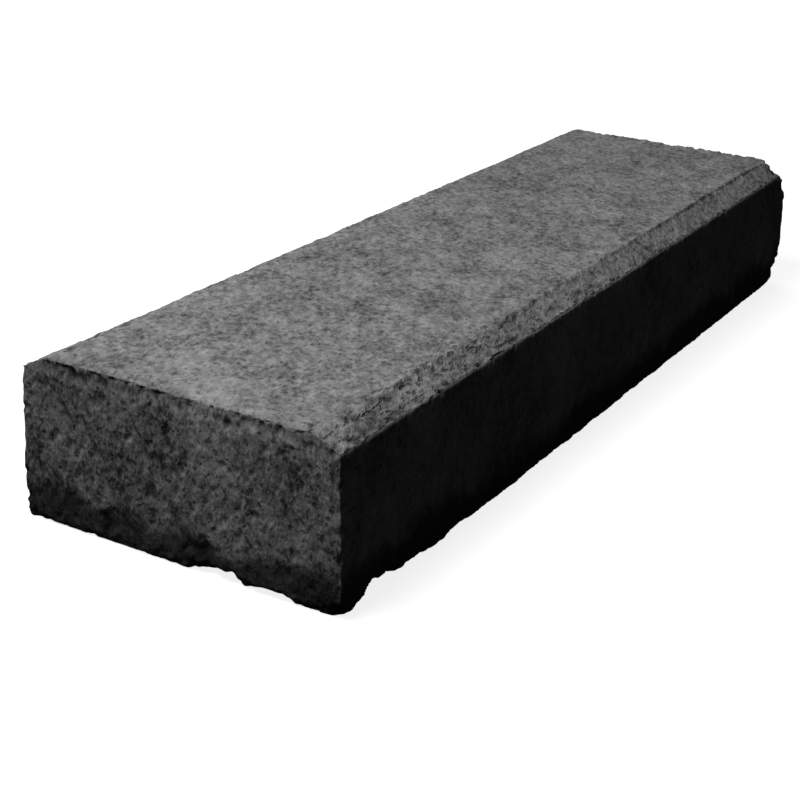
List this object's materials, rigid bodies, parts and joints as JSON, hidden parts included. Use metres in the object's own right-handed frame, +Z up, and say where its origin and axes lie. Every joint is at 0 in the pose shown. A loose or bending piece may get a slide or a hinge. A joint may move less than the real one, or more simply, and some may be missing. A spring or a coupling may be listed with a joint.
{
  "type": "concrete sleeper",
  "caption": "Straight cast concrete block shaped like a short railway sleeper, laid as a garden kerb, step or low retaining wall.",
  "frame": {"origin": "centre of the footprint on the floor, at the middle of the length and the width", "axes": "+X along the length, +Y across the width, +Z up from the foot to the crown"},
  "size_m": [0.8, 0.25, 0.12],
  "materials": {
    "concrete": "matt, open-pored charcoal concrete with worn arrises"
  },
  "bodies": {
    "root": {"concrete_sleeper": "concrete"}
  },
  "joints": []
}
